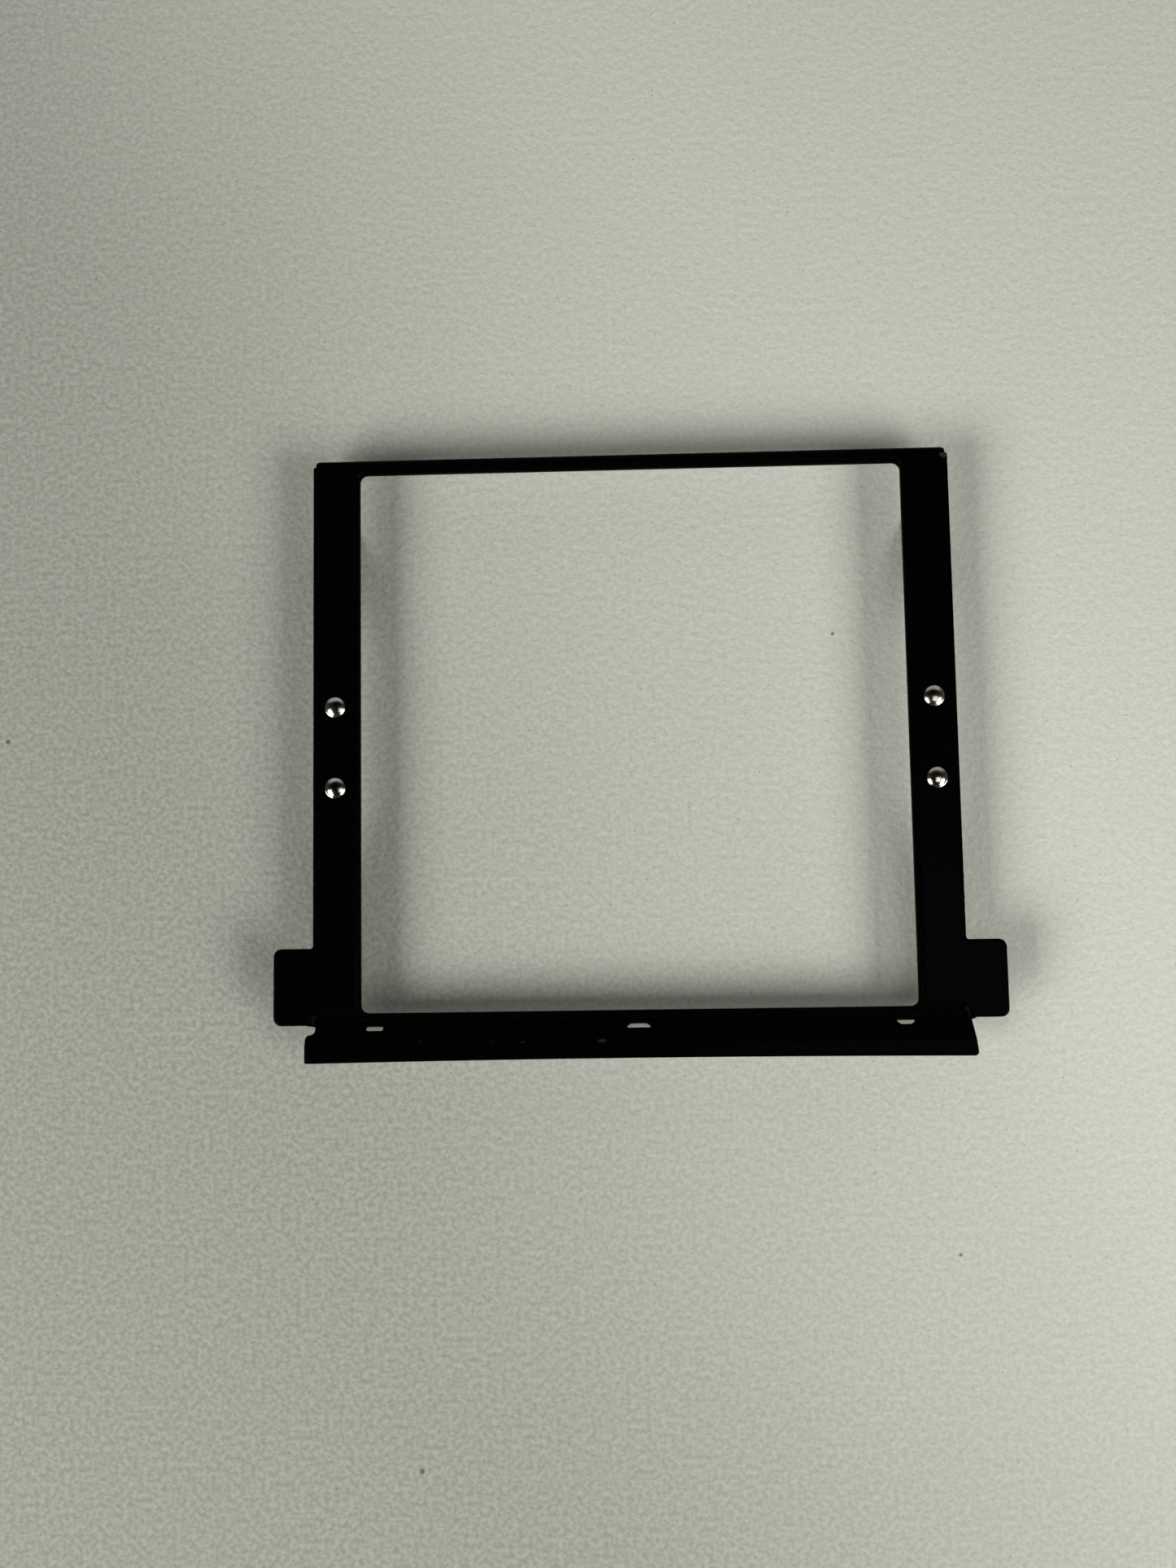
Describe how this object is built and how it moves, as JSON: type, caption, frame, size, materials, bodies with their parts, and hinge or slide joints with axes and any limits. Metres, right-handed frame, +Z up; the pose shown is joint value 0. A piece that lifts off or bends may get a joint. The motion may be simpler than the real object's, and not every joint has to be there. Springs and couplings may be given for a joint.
{
  "type": "negative carrier",
  "caption": "Negative carrier frame: black pressed sheet-steel plate with a square film gate, side stop tabs, a finger lip and riveted leaf springs under its rails.",
  "frame": {"origin": "on the plane that the springs rest on, under the middle of the overall outline", "axes": "+X across the frame, +Y from the finger lip to the rear edge, +Z up out of the face that shows the rivet heads"},
  "size_m": [0.0736, 0.062, 0.0046],
  "materials": {
    "black_paint": "satin black, worn along the edges",
    "rivet_nickel": "nickel-plated, polished round heads",
    "spring_steel": "blued spring steel, satin"
  },
  "bodies": {
    "frame": {"frame_plate": "black_paint", "left_front_rivet": "rivet_nickel", "left_rear_rivet": "rivet_nickel", "right_front_rivet": "rivet_nickel", "right_rear_rivet": "rivet_nickel", "left_spring_seat": "spring_steel", "right_spring_seat": "spring_steel"},
    "left_front_arm": {"left_front_spring_arm": "spring_steel"},
    "left_rear_arm": {"left_rear_spring_arm": "spring_steel"},
    "right_front_arm": {"right_front_spring_arm": "spring_steel"},
    "right_rear_arm": {"right_rear_spring_arm": "spring_steel"}
  },
  "joints": [
    {"name": "left_front_flex", "type": "hinge", "parent": "frame", "child": "left_front_arm", "pos_m": [-0.0305, -0.006, 0.00358], "axis": [-1, 0, 0], "range_deg": [0, 10], "stiffness_Nm_per_rad": 0.075},
    {"name": "left_rear_flex", "type": "hinge", "parent": "frame", "child": "left_rear_arm", "pos_m": [-0.0305, 0.0078, 0.00358], "axis": [1, 0, 0], "range_deg": [0, 10], "stiffness_Nm_per_rad": 0.075},
    {"name": "right_front_flex", "type": "hinge", "parent": "frame", "child": "right_front_arm", "pos_m": [0.0305, -0.006, 0.00358], "axis": [-1, 0, 0], "range_deg": [0, 10], "stiffness_Nm_per_rad": 0.075},
    {"name": "right_rear_flex", "type": "hinge", "parent": "frame", "child": "right_rear_arm", "pos_m": [0.0305, 0.0078, 0.00358], "axis": [1, 0, 0], "range_deg": [0, 10], "stiffness_Nm_per_rad": 0.075}
  ]
}
